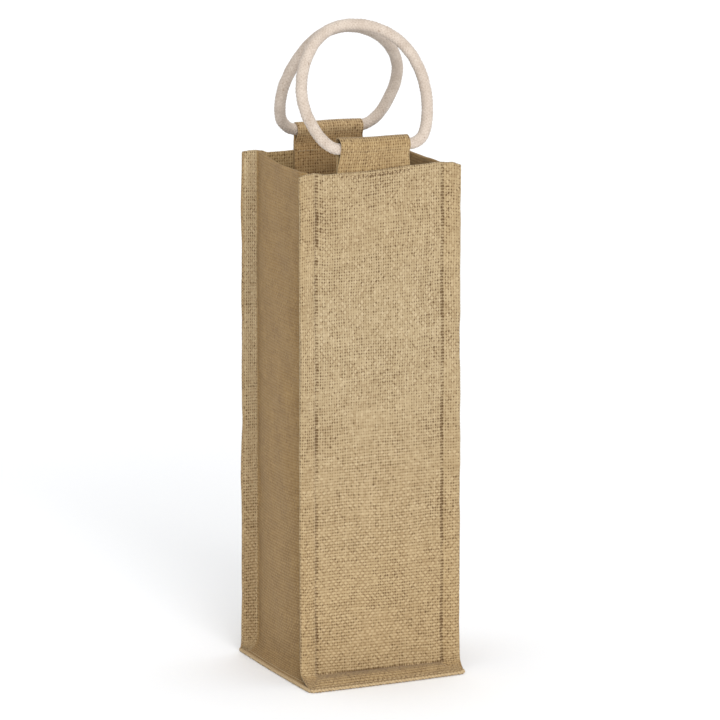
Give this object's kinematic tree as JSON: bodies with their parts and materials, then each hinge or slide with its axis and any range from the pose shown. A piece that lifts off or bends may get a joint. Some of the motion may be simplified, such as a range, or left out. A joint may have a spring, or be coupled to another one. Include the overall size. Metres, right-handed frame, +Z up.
{
  "type": "wine gift bag",
  "caption": "Tall open jute bag for one wine bottle, sewn with stand-up seams and a flared foot, with two rope ring handles that swing in folding jute tabs.",
  "frame": {"origin": "on the floor under the middle of the bag, which is the bottom centre of its bounding box", "axes": "+Z up from the foot to the mouth; -Y is the front panel; +X is to the right when facing the front; both tabs and both tunnels run along X"},
  "size_m": [0.122, 0.121, 0.4449],
  "materials": {
    "jute": "coarse plain-weave natural jute, matt",
    "thread": "jute-coloured sewing thread",
    "rope": "braided natural cotton, matt",
    "core": "loose-laid cotton core",
    "wrap": "cotton wrap over the rope's join"
  },
  "bodies": {
    "bag": {"front_panel": "jute", "back_panel": "jute", "left_gusset": "jute", "right_gusset": "jute", "base_panel": "jute", "front_tab_leg": "jute", "back_tab_leg": "jute", "front_left_seam_thread": "thread", "front_right_seam_thread": "thread", "back_left_seam_thread": "thread", "back_right_seam_thread": "thread", "skirt_seam_thread": "thread", "front_tab_thread": "thread", "back_tab_thread": "thread"},
    "front_tab": {"front_tab_loop": "jute"},
    "back_tab": {"back_tab_loop": "jute"},
    "front_ring": {"front_rope_cover": "rope", "front_rope_core": "core", "front_rope_splice": "wrap"},
    "back_ring": {"back_rope_cover": "rope", "back_rope_core": "core", "back_rope_splice": "wrap"}
  },
  "joints": [
    {"name": "front_tab_fold", "type": "hinge", "parent": "bag", "child": "front_tab", "pos_m": [-0.003, -0.0488, 0.3503], "axis": [1, 0, 0], "range_deg": [0, 85]},
    {"name": "front_ring_swing", "type": "hinge", "parent": "front_tab", "child": "front_ring", "pos_m": [-0.003, -0.0449, 0.3652], "axis": [1, 0, 0], "range_deg": [0, 122]},
    {"name": "back_tab_fold", "type": "hinge", "parent": "bag", "child": "back_tab", "pos_m": [0.0035, 0.0488, 0.3503], "axis": [-1, 0, 0], "range_deg": [0, 85]},
    {"name": "back_ring_swing", "type": "hinge", "parent": "back_tab", "child": "back_ring", "pos_m": [0.0035, 0.0449, 0.3624], "axis": [-1, 0, 0], "range_deg": [0, 119]}
  ]
}
